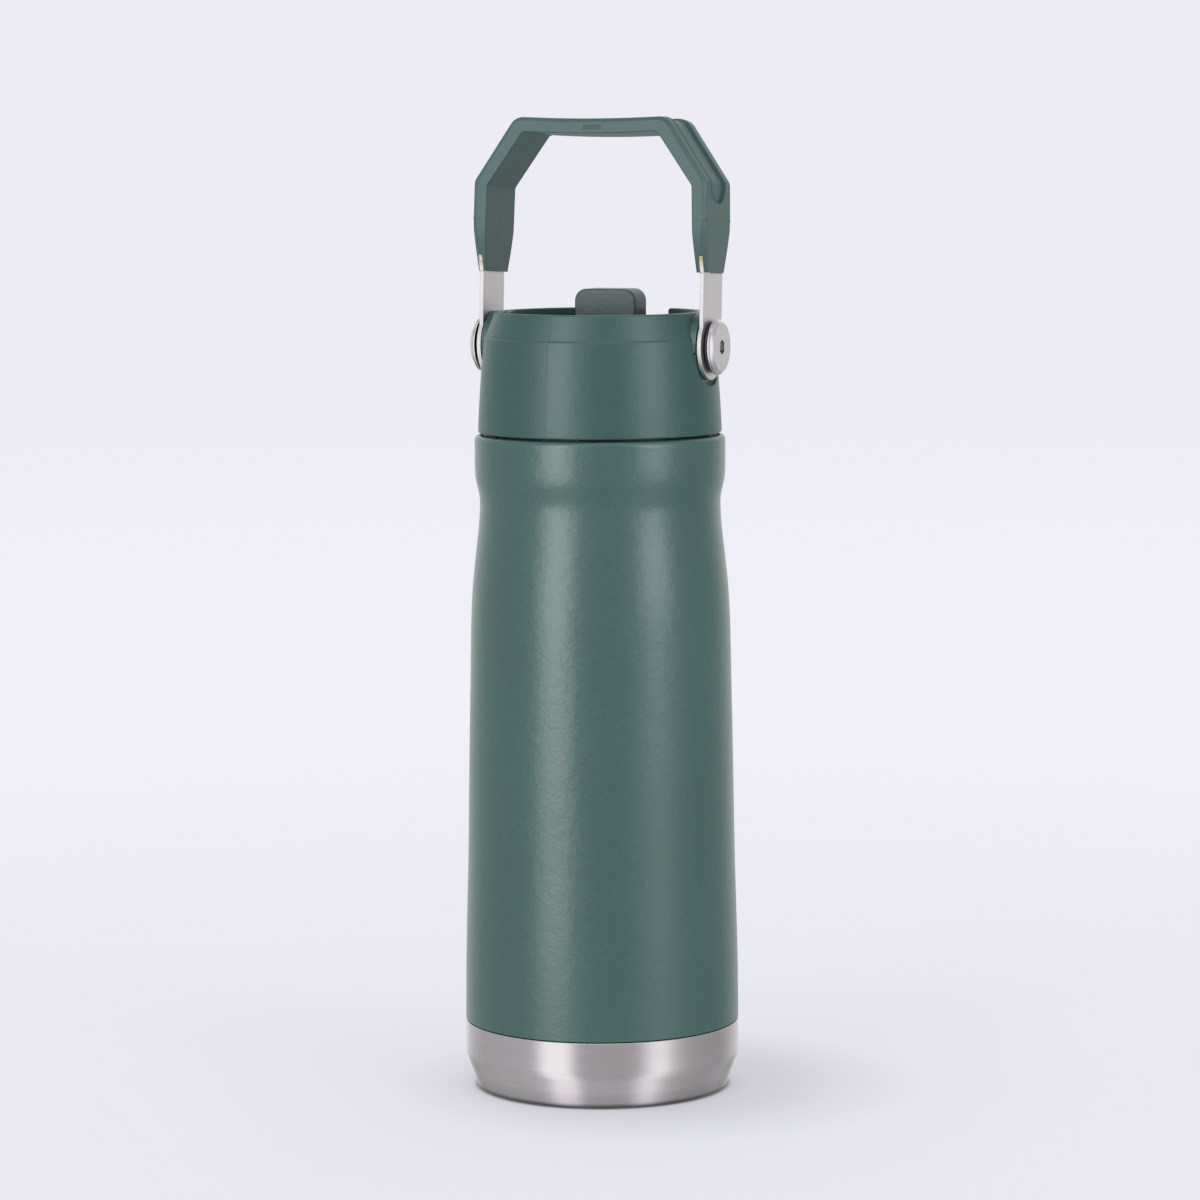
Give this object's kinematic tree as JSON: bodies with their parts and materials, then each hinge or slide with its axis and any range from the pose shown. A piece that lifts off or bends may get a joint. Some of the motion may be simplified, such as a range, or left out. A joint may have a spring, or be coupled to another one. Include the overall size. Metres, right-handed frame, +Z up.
{
  "type": "vacuum flask",
  "caption": "Slim vacuum flask with a bare steel base, a screw-on lid, a flip-up drinking spout in the rim and a swinging strap handle.",
  "frame": {"origin": "centre of the flat ring that the flask stands on", "axes": "+Z up along the flask's axis; +X along the handle's and the spout's hinge axes; +Y to the rear, where the rim has its notch"},
  "size_m": [0.0728, 0.0728, 0.2571],
  "materials": {
    "green_paint": "satin powder coat",
    "brushed_steel": "brushed",
    "liner_steel": "electropolished satin",
    "green_plastic": "matt",
    "spout_plastic": "matt, finely textured",
    "screw_steel": "polished edge, satin face",
    "black_plastic": "matt",
    "brass": "turned",
    "silicone": "matt translucent white",
    "straw_plastic": "translucent",
    "foil": "bright foil",
    "getter_metal": "sintered",
    "glass_solder": "fused"
  },
  "bodies": {
    "bottle": {"outer_shell": "green_paint", "outer_base": "brushed_steel", "base_disc": "brushed_steel", "evacuation_seal": "glass_solder", "inner_liner": "liner_steel", "inner_bottom": "liner_steel", "radiation_foil": "foil", "getter": "getter_metal"},
    "lid_seal": {"lid_gasket": "silicone"},
    "lid": {"lid_collar": "green_plastic", "lid_deck": "green_plastic", "thread_plug": "green_plastic", "port_seal": "silicone", "straw_connector": "silicone", "straw": "straw_plastic", "vent_valve": "silicone", "left_spout_pin": "screw_steel", "right_spout_pin": "screw_steel", "left_pivot_screw": "screw_steel", "right_pivot_screw": "screw_steel", "left_washer": "black_plastic", "right_washer": "black_plastic", "left_insert": "brass", "right_insert": "brass"},
    "handle": {"handle_grip": "green_plastic", "left_strap": "brushed_steel", "right_strap": "brushed_steel"},
    "spout": {"spout": "spout_plastic"}
  },
  "joints": [
    {"name": "lid_lift", "type": "slide", "parent": "bottle", "child": "lid_seal", "axis": [0, 0, 1], "range_m": [0, 0.006]},
    {"name": "lid_turn", "type": "hinge", "parent": "lid_seal", "child": "lid", "pos_m": [0, 0, 0.19], "axis": [0, 0, 1], "range_deg": [0, 540]},
    {"name": "handle_swing", "type": "hinge", "parent": "lid", "child": "handle", "pos_m": [0, 0, 0.1973], "axis": [1, 0, 0], "range_deg": [-87, 92]},
    {"name": "spout_flip", "type": "hinge", "parent": "lid", "child": "spout", "pos_m": [0, 0.005, 0.1945], "axis": [1, 0, 0], "range_deg": [0, 90]}
  ],
  "couplings": [
    {"joint": "lid_lift", "follows": "lid_turn", "m_per_rad": 0.00063662}
  ]
}
